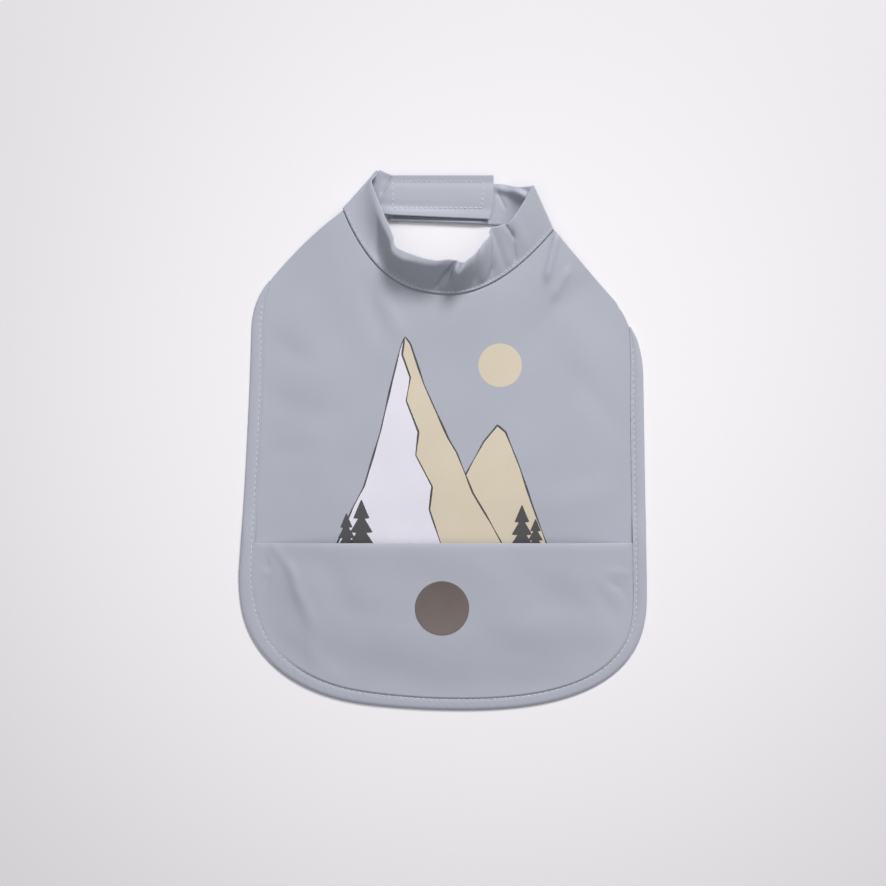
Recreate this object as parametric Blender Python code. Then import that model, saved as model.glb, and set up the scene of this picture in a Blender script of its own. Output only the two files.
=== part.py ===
"""A child's bib sewn from coated fabric, lying flat with its front up.

Drawing coordinates: x runs across the bib, y up from its bottom edge, z up from the table.
Everything hangs on one empty that puts the origin at the middle of the bottom of the whole box.
"""

import math

import bmesh
import bpy
import numpy as np

MM = 0.001

# Cloth and its layers
FABRIC = 0.6 * MM  # coated fabric of body, pocket and binding
BAND = 1.2 * MM  # collar strip, the fabric folded double
TAPE = 1.0 * MM  # hook tape and loop tape
FOIL = 0.4 * MM  # badge on the pocket
THREAD = 0.5 * MM  # diameter of the sewing thread
GAP = 0.3 * MM  # air between layers that touch

# Body outline
BODY_WIDTH = 300 * MM  # at the widest line, low down
CORNER_HEIGHT = 89 * MM  # bottom edge to the widest line
CORNER_POWER = 2.7  # 2 is an ellipse, more is squarer
DRAFT_LEFT = 9.6 * MM  # how far the side comes in at the shoulder corner
DRAFT_RIGHT = 3.7 * MM
SIDE_POWER = 1.5
SHOULDER_LEFT = 304.5 * MM  # bottom edge to the shoulder corner
SHOULDER_RIGHT = 278 * MM
BULGE_LEFT = 6.4 * MM  # how far the shoulder's middle handle stands out
BULGE_RIGHT = 1.6 * MM
ROUND_LEFT = (12.5 * MM, 20.6 * MM)  # corner rounding, along the shoulder and along the side
ROUND_RIGHT = (19.8 * MM, 31.6 * MM)

# Neckline, a U that lies a little askew
NECK_X = 3.6 * MM
NECK_Y = 360 * MM
NECK_WIDTH = 153.8 * MM
NECK_DEPTH = 53.7 * MM
NECK_TILT = math.radians(5.7)  # right end lower
NECK_POWER_LEFT = 2.6
NECK_POWER_RIGHT = 2.05
SEAM_ALLOWANCE = 2.5 * MM  # body beyond the seam, under the collar

# Binding and pocket
BINDING_WIDTH = 10 * MM
BINDING_END = 2 * MM  # width left where it runs out at the shoulder
BINDING_TAPER = 24 * MM
BINDING_SEAM = 7.6 * MM  # stitch line, from the outer edge
FOLD_EASE = 0.3 * MM  # rounding of the binding's outer fold
POCKET_DEPTH = 122.9 * MM  # bottom edge to the pocket's mouth
POCKET_GAPE = 7 * MM  # rise of the pocket at its mouth
POCKET_FLAT = 12 * MM  # border that stays flat under the binding
POCKET_SLOPE = 60 * MM
POCKET_FOOT = 0.45  # share of the gape that is left at the bottom
BINDING_STEP = 10 * MM  # length in which the binding steps down past the mouth
BADGE_DIAMETER = 40 * MM
BADGE_DROP = 47 * MM  # mouth to the badge's centre
BADGE_X = -0.7 * MM

# Collar and straps
COLLAR_HEIGHT = 33 * MM
LEAN_FRONT = math.radians(50)  # above the table, at the front and on the left
LEAN_RIGHT = math.radians(39)  # the right side leans in further
LEAN_CREASE = math.radians(10)
LEAN_TURN = 0.8  # share of the right half in which the lean changes
CREASE_LEFT = math.radians(38.5)  # the creases run up and inwards, turned this far from the neck's own up
CREASE_RIGHT = math.radians(31.4)
CREASE_POWER = 10  # the lean and the height change only close to the creases
TURN_POWER = 3  # the way up turns towards them sooner
CREASE_LENGTH = 36.5 * MM  # they cross the collar's strip aslant, so they are longer than it is high
CREASE_LIFT = 3.5 * MM  # collar's lower corner to the neck end
COLLAR_SEAM = 3 * MM  # topstitch above the neck seam
STRAP_WIDTH = 32.1 * MM
STRAP_RISE = 1.9 * MM  # neck ends to the hook strap's lower edge
LOOP_DROP = 2.3 * MM  # the loop strap shows this far below the hook strap
HINGE_SETBACK = 10.2 * MM  # left crease to the bend of the hook strap
LOOP_ROOT = 23.8 * MM  # right crease to where the loop strap runs straight
TIP_SETBACK = 3.6 * MM  # hook strap's tip to that place
STRAP_ROUND = 2 * MM
TAPE_WIDTH = 25 * MM
TAPE_END = 1.5 * MM  # strap beyond the tape
TAPE_SEAM = 1.8 * MM  # stitched box inside the tape's edge

# Heights of the layers above the table
BODY_Z = FABRIC + GAP
BODY_TOP = BODY_Z + FABRIC
POCKET_Z = BODY_TOP + GAP
COLLAR_Z = BODY_TOP + GAP + BAND / 2
LOOP_Z = BAND / 2
LOOP_TAPE_Z = BAND + GAP
HOOK_TAPE_Z = LOOP_TAPE_Z + TAPE + GAP
HOOK_Z = HOOK_TAPE_Z + TAPE + GAP

# Colour, roughness and metallic value of each material
CLOTH = ((0.40, 0.42, 0.50), 0.45, 0.0)
TAPES = ((0.36, 0.38, 0.44), 0.9, 0.0)
THREADS = ((0.62, 0.62, 0.62), 0.7, 0.0)
FOILS = ((0.16, 0.14, 0.13), 0.35, 0.8)

ACROSS = np.array([math.cos(NECK_TILT), -math.sin(NECK_TILT)])
UPWARD = np.array([math.sin(NECK_TILT), math.cos(NECK_TILT)])


def smooth(x):
    """0 to 1 with level ends."""
    x = np.clip(x, 0, 1)
    return x * x * (3 - 2 * x)


def bend(a, b, c, count):
    """Points on the arc from a to c that is drawn towards b."""
    t = np.linspace(0, 1, count)[:, None]
    return (1 - t) ** 2 * a + 2 * t * (1 - t) * b + t**2 * c


def lengths(points):
    steps = np.linalg.norm(np.diff(points, axis=0), axis=1)
    return np.concatenate([[0], np.cumsum(steps)])


def resample(points, count):
    """Points evenly spaced along a polyline."""
    along = lengths(points)
    at = np.linspace(0, along[-1], count)
    return np.stack([np.interp(at, along, column) for column in points.T], axis=1)


def inset(path, distance):
    """A path moved to its left, which is inwards on the bib's outline."""
    tangent = np.gradient(path, axis=0)
    tangent /= np.linalg.norm(tangent, axis=1)[:, None]
    left = np.stack([-tangent[:, 1], tangent[:, 0]], axis=1)
    return path + left * np.broadcast_to(distance, len(path))[:, None]


def seam(t):
    """Neck seam, from t = -1 at the left neck end to 1 at the right."""
    power = np.where(t < 0, NECK_POWER_LEFT, NECK_POWER_RIGHT)
    x = NECK_WIDTH / 2 * t
    y = -NECK_DEPTH * (1 - np.abs(t) ** power)
    return np.array([NECK_X, NECK_Y]) + x[..., None] * ACROSS + y[..., None] * UPWARD


def half_outline(sign, draft, shoulder, bulge, rounding):
    """One shoulder from the neck end to the rounding, then the rounded corner and the side below it."""
    neck = seam(np.array(float(sign)))
    corner = np.array([sign * (BODY_WIDTH / 2 - draft), shoulder])
    to_neck = (neck - corner) / np.linalg.norm(neck - corner)
    outward = np.array([-to_neck[1], to_neck[0]]) * -sign
    start = corner + to_neck * rounding[0]
    handle = (neck + start) / 2 + outward * bulge
    drop = np.linspace(0, 1, 25)
    side = np.stack(
        [corner[0] + sign * draft * drop**SIDE_POWER, shoulder + (CORNER_HEIGHT - shoulder) * drop], axis=1
    )
    below = side[side[:, 1] < shoulder - rounding[1]]
    arc = bend(start, corner, below[0], 7)
    return bend(neck, handle, start, 9), np.concatenate([arc, below[1:]])


def bottom_outline():
    """The rounded bottom, from the left widest point to the right one."""
    turn = np.linspace(math.pi, 2 * math.pi, 161)
    x = np.sign(np.cos(turn)) * np.abs(np.cos(turn)) ** (2 / CORNER_POWER)
    y = np.abs(np.sin(turn)) ** (2 / CORNER_POWER)
    return np.stack([BODY_WIDTH / 2 * x, CORNER_HEIGHT * (1 - y)], axis=1)


LEFT_SHOULDER, LEFT_SIDE = half_outline(-1, DRAFT_LEFT, SHOULDER_LEFT, BULGE_LEFT, ROUND_LEFT)
RIGHT_SHOULDER, RIGHT_SIDE = half_outline(1, DRAFT_RIGHT, SHOULDER_RIGHT, BULGE_RIGHT, ROUND_RIGHT)
BOUND = resample(np.concatenate([LEFT_SIDE, bottom_outline()[1:-1], RIGHT_SIDE[::-1]]), 90)
CLOTH_EDGE = inset(BOUND, FABRIC + GAP)  # where body and pocket end, inside the binding's fold


def pocket_height(x, y):
    """Middle of the pocket's cloth: flat under the binding, rising towards the middle of the mouth."""
    away = np.hypot(x[..., None] - CLOTH_EDGE[:, 0], y[..., None] - CLOTH_EDGE[:, 1]).min(axis=-1)
    gape = POCKET_GAPE * smooth((away - POCKET_FLAT) / POCKET_SLOPE)
    return POCKET_Z + FABRIC / 2 + gape * (POCKET_FOOT + (1 - POCKET_FOOT) * smooth(y / POCKET_DEPTH))


def collar_way(t):
    """Which way the collar stands up in plan: square to the seam, and along the creases at its ends."""
    power = np.where(t < 0, NECK_POWER_LEFT, NECK_POWER_RIGHT)
    slope = np.sign(t) * 2 * NECK_DEPTH / NECK_WIDTH * power * np.abs(t) ** (power - 1)
    square = np.arctan(slope)
    crease = np.where(t < 0, -CREASE_LEFT, CREASE_RIGHT)
    turn = square + (crease - square) * np.abs(t) ** TURN_POWER
    return -np.sin(turn)[..., None] * ACROSS + np.cos(turn)[..., None] * UPWARD


def collar_lean(t):
    """How steeply the collar stands: more at the front and left, less on the right, least at the creases."""
    lean = LEAN_FRONT + (LEAN_RIGHT - LEAN_FRONT) * smooth(t / LEAN_TURN)
    return lean + (LEAN_CREASE - lean) * np.abs(t) ** CREASE_POWER


def collar_front(t, h):
    """The standing front of the collar: t along the seam, h from 0 at the seam to 1 at the top edge."""
    lean = collar_lean(t)
    end = np.abs(t) ** CREASE_POWER
    reach = COLLAR_HEIGHT * np.cos(lean)
    out = CREASE_LIFT * end * (1 - h) + (reach + (CREASE_LENGTH - reach) * end) * h
    height = COLLAR_Z + COLLAR_HEIGHT * np.sin(lean) * h
    return np.concatenate([seam(t) + out[..., None] * collar_way(t), height[..., None]], axis=-1)


CREASES = {side: collar_front(np.full(2, float(side)), np.array([0.0, 1.0])) for side in (-1, 1)}
HINGE_X = CREASES[-1][1, 0] + HINGE_SETBACK
LOOP_X = CREASES[1][1, 0] - LOOP_ROOT
TIP_X = LOOP_X - TIP_SETBACK
HOOK_LOW = NECK_Y + STRAP_RISE


def crease_side(side):
    """The way a crease faces, square to it and away from the neck."""
    crease = CREASES[side][1, :2] - CREASES[side][0, :2]
    return np.array([crease[1], -crease[0]]) * side / np.linalg.norm(crease)


def fold(side, heights, count):
    """The rounded crease beside the neck: a half turn from the collar's front down to the strap's level."""
    front = collar_front(np.full(len(heights), float(side)), heights)
    radius = (front[:, 2] - LOOP_Z) / 2
    turn = np.linspace(0, math.pi, count)[:, None]
    flat = front[None, :, :2] + (np.sin(turn) * radius)[..., None] * crease_side(side)
    return np.concatenate([flat, (LOOP_Z + radius * (1 + np.cos(turn)))[..., None]], axis=-1)


def total_length():
    """From the bottom edge to the outside of the left crease's upper corner."""
    corner = CREASES[-1][1]
    return corner[1] + crease_side(-1)[1] * (corner[2] - LOOP_Z + BAND) / 2


def strap_line(x, low, z, heights):
    """A line across the strap at x."""
    return np.stack([np.full(len(heights), x), low + STRAP_WIDTH * heights, np.full(len(heights), z)], axis=1)


def run(start, end, count):
    """Lines across the strip from one line to another, level where they start and end."""
    t = np.linspace(0, 1, count)[:, None, None]
    flat = start + (end - start) * t
    flat[..., 2] = start[:, 2] + (end[:, 2] - start[:, 2]) * smooth(t[..., 0])
    return flat


def new_object(name, mesh, finish):
    """An object under the origin empty, with its own material."""
    colour, roughness, metallic = finish
    material = bpy.data.materials.new(name)
    material.use_nodes = True
    shader = material.node_tree.nodes["Principled BSDF"]
    shader.inputs["Base Color"].default_value = (*colour, 1)
    shader.inputs["Roughness"].default_value = roughness
    shader.inputs["Metallic"].default_value = metallic
    mesh.materials.append(material)
    thing = bpy.data.objects.new(name, mesh)
    thing.parent = bpy.data.objects["bib_origin"]
    bpy.context.scene.collection.objects.link(thing)
    return thing


def closed_mesh(name, points, faces):
    """A smooth-shaded mesh with its faces turned outwards."""
    mesh = bpy.data.meshes.new(name)
    mesh.from_pydata(points.reshape(-1, 3).tolist(), [], faces)
    shape = bmesh.new()
    shape.from_mesh(mesh)
    bmesh.ops.recalc_face_normals(shape, faces=shape.faces)
    shape.to_mesh(mesh)
    shape.free()
    mesh.shade_smooth()
    mesh.set_sharp_from_angle(angle=math.radians(40))
    return mesh


def loft(name, sections, finish):
    """Closed sections joined one to the next, with flat ends."""
    count, around = sections.shape[:2]
    faces = [
        (i * around + j, i * around + (j + 1) % around, (i + 1) * around + (j + 1) % around, (i + 1) * around + j)
        for i in range(count - 1)
        for j in range(around)
    ]
    faces += [tuple(range(around)), tuple(range((count - 1) * around, count * around))]
    return new_object(name, closed_mesh(name, sections, faces), finish)


def cloth(name, middle, thickness, finish):
    """A grid of points given a thickness: each row becomes a closed section, out on top and back below."""
    normal = np.cross(np.gradient(middle, axis=0), np.gradient(middle, axis=1))
    normal *= thickness / 2 / np.linalg.norm(normal, axis=-1)[..., None]
    sections = np.concatenate([middle + normal, (middle - normal)[:, ::-1]], axis=1)
    count, across = middle.shape[:2]
    shape = loft(name, sections, finish)
    mesh = bmesh.new()
    mesh.from_mesh(shape.data)
    mesh.verts.ensure_lookup_table()
    ends = [face for face in mesh.faces if len(face.verts) > 4]
    bmesh.ops.delete(mesh, geom=ends, context="FACES_ONLY")
    for row in (0, count - 1):
        first = row * 2 * across
        for j in range(across - 1):
            ring = (first + j, first + j + 1, first + 2 * across - 2 - j, first + 2 * across - 1 - j)
            mesh.faces.new([mesh.verts[k] for k in ring])
    bmesh.ops.recalc_face_normals(mesh, faces=mesh.faces)
    mesh.to_mesh(shape.data)
    mesh.free()
    return shape


def plate(name, outline, low, thickness, finish):
    """A flat outline given a thickness."""
    count = len(outline)
    levels = [np.column_stack([outline, np.full(count, z)]) for z in (low, low + thickness)]
    return loft(name, np.stack(levels), finish)


def rectangle(x0, x1, y0, y1, radius):
    """A rectangle with rounded corners."""
    corners = []
    for x, y, start in ((x1, y0, -90), (x1, y1, 0), (x0, y1, 90), (x0, y0, 180)):
        turn = np.radians(np.linspace(start, start + 90, 4))
        centre = (x - math.copysign(radius, x - (x0 + x1) / 2), y - math.copysign(radius, y - (y0 + y1) / 2))
        corners.append(np.stack([centre[0] + radius * np.cos(turn), centre[1] + radius * np.sin(turn)], axis=1))
    return np.concatenate(corners)


def thread(name, points, closed=False):
    """A sewn line as one thin tube."""
    curve = bpy.data.curves.new(name, "CURVE")
    curve.dimensions = "3D"
    curve.bevel_depth = THREAD / 2
    curve.bevel_resolution = 0
    curve.use_fill_caps = True
    line = curve.splines.new("POLY")
    line.points.add(len(points) - 1)
    for point, place in zip(line.points, points):
        point.co = (*place, 1)
    line.use_cyclic_u = closed
    return new_object(name, curve, THREADS)


def make_body():
    """The front panel: bound sides and bottom, turned shoulders and the neck edge under the collar."""
    t = np.linspace(1, -1, 33)
    neck = inset(seam(t), -SEAM_ALLOWANCE * (1 - np.abs(t) ** 6))
    shoulders = (resample(LEFT_SHOULDER, 8)[:-1], resample(RIGHT_SHOULDER, 8)[:-1][::-1])
    outline = np.concatenate([shoulders[0], CLOTH_EDGE, shoulders[1], neck[1:-1]])
    plate("body_panel", outline, BODY_Z, FABRIC, CLOTH)


def make_pocket():
    """A patch filled in between the mouth and the bound edge, split at the rounded corners."""
    fine = resample(CLOTH_EDGE, 901)
    edge = fine[fine[:, 1] < POCKET_DEPTH]
    edge[[0, -1], 1] = POCKET_DEPTH
    turn = np.argmin(np.abs(edge[: len(edge) // 2, 1] - CORNER_HEIGHT / 3))
    u = np.linspace(0, 1, 29)[None, :, None]
    v = np.linspace(0, 1, 11)[:, None, None]
    left = resample(edge[: turn + 1], 11)[:, None]
    right = resample(edge[::-1][: turn + 1], 11)[:, None]
    low = resample(edge[turn : len(edge) - turn], 29)[None]
    mouth = edge[0] + (edge[-1] - edge[0]) * u
    corners = (1 - v) * mouth + v * ((1 - u) * low[:, :1] + u * low[:, -1:])
    flat = (1 - v) * mouth + v * low + (1 - u) * left + u * right - corners
    height = pocket_height(flat[..., 0], flat[..., 1])
    cloth("pocket_panel", np.concatenate([flat, height[..., None]], axis=-1), FABRIC, CLOTH)


def binding_level(y):
    """Underside of the binding's front: over the pocket, then down on the body past the mouth."""
    return POCKET_Z + (FABRIC + GAP) * (1 - smooth((y - POCKET_DEPTH) / BINDING_STEP))


def make_binding():
    """The strip folded round the edge: back leg on the table, front leg on the cloth."""
    along = lengths(BOUND)
    near_end = np.minimum(along, along[-1] - along)
    width = BINDING_END + (BINDING_WIDTH - BINDING_END) * smooth(near_end / BINDING_TAPER)
    level = binding_level(BOUND[:, 1])
    nothing = np.zeros(len(BOUND))
    rim = nothing + FOLD_EASE
    wall = nothing + FABRIC
    top = level + FABRIC
    section = (
        (rim, nothing), (width, nothing), (width, wall), (wall, wall), (wall, level),
        (width, level), (width, top), (rim, top), (nothing, top - FOLD_EASE), (nothing, rim),
    )
    rings = [np.column_stack([inset(BOUND, inward), height]) for inward, height in section]
    loft("edge_binding", np.stack(rings, axis=1), CLOTH)
    sewn = near_end > BINDING_TAPER
    line = np.column_stack([inset(BOUND, BINDING_SEAM), top + GAP + THREAD / 2])
    thread("edge_thread", line[sewn])


def make_badge():
    """A round foil that follows the pocket's surface."""
    mesh = bpy.data.meshes.new("pocket_badge")
    disc = bmesh.new()
    bmesh.ops.create_circle(disc, cap_ends=True, cap_tris=True, segments=32, radius=BADGE_DIAMETER / 2)
    disc.to_mesh(mesh)
    disc.free()
    points = np.empty(len(mesh.vertices) * 3)
    mesh.vertices.foreach_get("co", points)
    points = points.reshape(-1, 3) + np.array([BADGE_X, POCKET_DEPTH - BADGE_DROP, 0])
    points[:, 2] = pocket_height(points[:, 0], points[:, 1]) + FABRIC / 2 + GAP
    mesh.vertices.foreach_set("co", points.ravel())
    badge = new_object("pocket_badge", mesh, FOILS)
    wall = badge.modifiers.new("foil", "SOLIDIFY")
    wall.thickness = FOIL
    wall.offset = 1


def make_collar():
    """One folded strip: loop strap, right crease, standing front, left crease, root of the hook strap."""
    heights = np.linspace(0, 1, 5)
    t, h = np.meshgrid(np.linspace(1, -1, 31), heights, indexing="ij")
    right = fold(1, heights, 7)
    left = fold(-1, heights, 7)
    loop_low = HOOK_LOW - LOOP_DROP
    loop_end = strap_line(HINGE_X + TAPE_END, loop_low, LOOP_Z, heights)
    loop_root = strap_line(LOOP_X, loop_low, LOOP_Z, heights)
    hinge = strap_line(HINGE_X - GAP / 2, HOOK_LOW, HOOK_Z + BAND / 2, heights)
    strip = [
        run(loop_end, loop_root, 3)[:-1],
        run(loop_root, right[-1], 5)[:-1],
        right[::-1][:-1],
        collar_front(t, h),
        left[1:],
        run(left[-1], hinge, 7)[1:],
    ]
    cloth("collar_band", np.concatenate(strip), BAND, CLOTH)
    t = np.linspace(-0.97, 0.97, 41)
    low = np.full_like(t, COLLAR_SEAM / COLLAR_HEIGHT)
    line = collar_front(t, low)
    normal = np.cross(collar_front(t, low + 0.1) - line, np.gradient(line, axis=0))
    normal *= np.sign(normal[:, 2:]) / np.linalg.norm(normal, axis=1)[:, None]
    thread("collar_thread", line + normal * (BAND / 2 + GAP + THREAD / 2))


def make_closure():
    """The hook strap with its tape and stitched box, and the loop tape on the strap below."""
    middle = HOOK_LOW + STRAP_WIDTH / 2
    start = HINGE_X + GAP / 2
    strap = rectangle(start, TIP_X, HOOK_LOW, HOOK_LOW + STRAP_WIDTH, STRAP_ROUND)
    ends = (start + TAPE_END, TIP_X - TAPE_END)
    edges = np.array([middle - TAPE_WIDTH / 2, middle + TAPE_WIDTH / 2])
    plate("hook_strap", strap, HOOK_Z, BAND, CLOTH)
    plate("hook_tape", rectangle(*ends, *edges, STRAP_ROUND), HOOK_TAPE_Z, TAPE, TAPES)
    loop_ends = (ends[0] + TAPE_END, ends[1])
    plate("loop_tape", rectangle(*loop_ends, *(edges - LOOP_DROP), STRAP_ROUND), LOOP_TAPE_Z, TAPE, TAPES)
    box = rectangle(
        ends[0] + TAPE_SEAM, ends[1] - TAPE_SEAM, edges[0] + TAPE_SEAM, edges[1] - TAPE_SEAM, THREAD
    )
    line = np.column_stack([box, np.full(len(box), HOOK_Z + BAND + GAP + THREAD / 2)])
    thread("hook_tape_thread", line, closed=True)


def main():
    for thing in list(bpy.data.objects):
        bpy.data.objects.remove(thing)
    origin = bpy.data.objects.new("bib_origin", None)
    origin.location = (0, -total_length() / 2, 0)
    bpy.context.scene.collection.objects.link(origin)
    make_body()
    make_pocket()
    make_binding()
    make_badge()
    make_collar()
    make_closure()
    bpy.context.view_layer.update()


main()
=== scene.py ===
import math

import bpy
import numpy as np
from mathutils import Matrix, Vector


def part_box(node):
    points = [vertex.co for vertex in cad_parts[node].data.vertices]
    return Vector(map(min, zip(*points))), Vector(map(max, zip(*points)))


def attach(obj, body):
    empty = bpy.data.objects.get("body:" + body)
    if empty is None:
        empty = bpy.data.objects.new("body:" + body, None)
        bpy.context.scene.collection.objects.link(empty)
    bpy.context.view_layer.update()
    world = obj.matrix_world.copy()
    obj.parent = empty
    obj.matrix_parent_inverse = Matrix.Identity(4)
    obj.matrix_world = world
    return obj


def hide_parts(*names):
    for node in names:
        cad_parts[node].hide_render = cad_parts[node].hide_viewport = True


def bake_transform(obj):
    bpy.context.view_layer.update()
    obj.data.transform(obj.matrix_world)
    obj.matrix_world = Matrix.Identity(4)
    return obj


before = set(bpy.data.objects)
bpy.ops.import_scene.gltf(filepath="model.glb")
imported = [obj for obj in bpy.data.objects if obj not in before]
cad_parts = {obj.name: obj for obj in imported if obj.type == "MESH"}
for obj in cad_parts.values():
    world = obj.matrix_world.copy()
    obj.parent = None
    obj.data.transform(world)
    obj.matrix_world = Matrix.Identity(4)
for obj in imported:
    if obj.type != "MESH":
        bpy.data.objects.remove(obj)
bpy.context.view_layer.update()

# The bib is drawn in millimetres: x across, y up from its bottom edge, z up from the table.
mm = 0.001
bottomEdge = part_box("edge_binding")[0].y
fabric = dict(single=0.5, band=1.3)  # thickness of one layer and of the folded collar strip
foldEnd = 2.2  # a fold fades past its ends over this many of its widths
stitchShape = dict(points=6, lift=0.65, dip=1.5, taper=0.45)  # in radii, apart from the points along it


# curves and fields

def smooth(x):  # 0 to 1 with level ends: three x squared less two x cubed
    x = np.clip(x, 0, 1)
    return x * x * (3 - 2 * x)


def bell(x):  # e to the power of minus x squared
    return np.exp(-x * x)


def unit(vectors):  # each vector divided by its length
    return vectors / np.linalg.norm(vectors, axis=-1, keepdims=True)


def alongPath(path):  # running length at each point
    return np.concatenate([[0], np.cumsum(np.linalg.norm(np.diff(path, axis=0), axis=1))])


def pathAt(path, lengths):  # points of a polyline at these running lengths
    along = alongPath(path)
    return np.stack([np.interp(lengths, along, column) for column in path.T], axis=-1)


def evenly(path, count):  # points at equal steps along the path
    return pathAt(path, np.linspace(0, alongPath(path)[-1], count))


def inset(path, distance):  # each point moved to the left of the path, which is inwards on the bib's outline
    tangent = unit(np.gradient(path, axis=0))
    left = np.stack([-tangent[:, 1], tangent[:, 0]], axis=1)
    return path + left * np.broadcast_to(distance, len(path))[:, None]


def through(keys, values, at):  # cubic Hermite curve through the values, with slopes from the neighbours
    keys, values = np.asarray(keys, float), np.asarray(values, float)
    slopes = np.gradient(values, keys, axis=0)
    i = np.clip(np.searchsorted(keys, at, side="right") - 1, 0, len(keys) - 2)
    span = (keys[i + 1] - keys[i])[:, None]
    s = (at - keys[i])[:, None] / span
    a, b = values[i], values[i + 1]
    return (
        (1 + 2 * s) * (1 - s) ** 2 * a + s * (1 - s) ** 2 * span * slopes[i]
        + s * s * (3 - 2 * s) * b - s * s * (1 - s) * span * slopes[i + 1]
    )


def arc(a, b, c, count):  # quadratic curve from a to c, drawn towards b
    t = np.linspace(0, 1, count)[:, None]
    return (1 - t) ** 2 * a + 2 * t * (1 - t) * b + t**2 * c


def foldField(x, y, folds):
    # Each fold is a line (x0, y0, x1, y1, width, height): a bell across it, fading past its ends.
    total = np.zeros(np.shape(x))
    for x0, y0, x1, y1, width, height in folds:
        length = math.hypot(x1 - x0, y1 - y0)
        dx, dy = (x1 - x0) / length, (y1 - y0) / length
        along = (x - x0) * dx + (y - y0) * dy
        across = (y - y0) * dx - (x - x0) * dy
        beyond = np.maximum(0, np.maximum(-along, along - length))
        total += height * bell(across / width) * bell(beyond / (foldEnd * width))
    return total


def waveField(x, y, waves):
    # Each wave is (height, length, direction in degrees, phase): a sine that runs in that direction.
    total = np.zeros(np.shape(x))
    for height, length, direction, phase in waves:
        way = math.radians(direction)
        total += height * np.sin((x * math.cos(way) + y * math.sin(way)) * 2 * math.pi / length + phase)
    return total


def nearest(x, y, path):  # distance to the closest point of a path
    return np.sqrt(((x[..., None] - path[:, 0]) ** 2 + (y[..., None] - path[:, 1]) ** 2).min(axis=-1))


# meshes

def gridFaces(rows, columns, closed=False):  # quads of a grid; closed joins its last column to the first
    i = np.arange(rows - 1)[:, None] * columns
    j = np.arange(columns if closed else columns - 1)[None]
    k = (j + 1) % columns
    return np.stack([i + j, i + k, i + columns + k, i + columns + j], axis=-1).reshape(-1, 4)


def addObject(name, data):  # an object of this data, put into the scene
    made = bpy.data.objects.new(name, data)
    bpy.context.scene.collection.objects.link(made)
    return made


def addPiece(name, points, faces, material, sharp=None):
    # Points in millimetres go to the frame's metres; faces turn outwards if the signed volume is negative.
    points = points.reshape(-1, 3) * mm + np.array([0, bottomEdge, 0])
    a, b, c, d = (points[faces[:, k]] for k in range(4))
    volume = np.einsum("ij,ij->", a, np.cross(b, c)) + np.einsum("ij,ij->", a, np.cross(c, d))
    faces = faces[:, ::-1] if volume < 0 else faces
    mesh = bpy.data.meshes.new(name)
    mesh.from_pydata(points.tolist(), [], faces.tolist())
    mesh.shade_smooth()
    if sharp:
        mesh.set_sharp_from_angle(angle=math.radians(sharp))
    mesh.materials.append(material)
    piece = addObject(name, mesh)
    return piece


def sheetNormals(middle):  # cross product of the grid's two directions, at unit length
    return unit(np.cross(np.gradient(middle, axis=0), np.gradient(middle, axis=1)))


def sheetShell(middle, thickness):
    # A grid given a thickness: each row goes out on one face and back on the other,
    # and the two ends are zipped shut.
    half = sheetNormals(middle) * np.asarray(thickness)[..., None] / 2
    rows, columns = middle.shape[:2]
    rings = np.concatenate([middle + half, (middle - half)[:, ::-1]], axis=1)
    j = np.arange(columns - 1)
    zipped = np.stack([j, j + 1, 2 * columns - 2 - j, 2 * columns - 1 - j], axis=1)
    ends = [zipped[:, ::-1], zipped + (rows - 1) * 2 * columns]
    return rings, np.concatenate([gridFaces(rows, 2 * columns, closed=True), *ends])


def roundedEdge(distance, thickness):  # thickness of a strip whose long edges are rounded like a folded one
    reach = thickness * 0.6
    return thickness * np.sqrt(np.clip(1 - np.clip(1 - distance / reach, 0, 0.97) ** 2, 0.02, 1))


def stitchRow(path, normals, pitch, dash, radius):
    # Every stitch is a short six-sided tube that arches out of the cloth and dips back into it at both ends.
    along = alongPath(path)
    count = int(along[-1] / pitch)
    centres = (np.arange(count) + 0.5) * along[-1] / count
    x = np.linspace(-1, 1, stitchShape["points"])
    at = centres[:, None] + x * dash / 2
    middle = np.stack([np.interp(at, along, column) for column in path.T], axis=-1)
    up = unit(np.stack([np.interp(at, along, column) for column in normals.T], axis=-1))
    side = unit(np.cross(unit(np.gradient(middle, axis=1)), up))
    middle = middle + up * (radius * (stitchShape["lift"] - stitchShape["dip"] * x**4))[None, :, None]
    turn = np.linspace(0, 2 * math.pi, 6, endpoint=False)
    ring = side[:, :, None] * np.cos(turn)[:, None] + up[:, :, None] * np.sin(turn)[:, None]
    points = middle[:, :, None] + ring * (radius * (1 - stitchShape["taper"] * x**4))[None, :, None, None]
    tube = gridFaces(len(x), 6, closed=True)
    first = np.array([[3, 2, 1, 0], [5, 4, 3, 0]])
    last = first[:, ::-1] + 6 * (len(x) - 1)
    one = np.concatenate([tube, first, last])
    return points, (one[None] + np.arange(count)[:, None, None] * 6 * len(x)).reshape(-1, 4)


# node expressions

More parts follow.
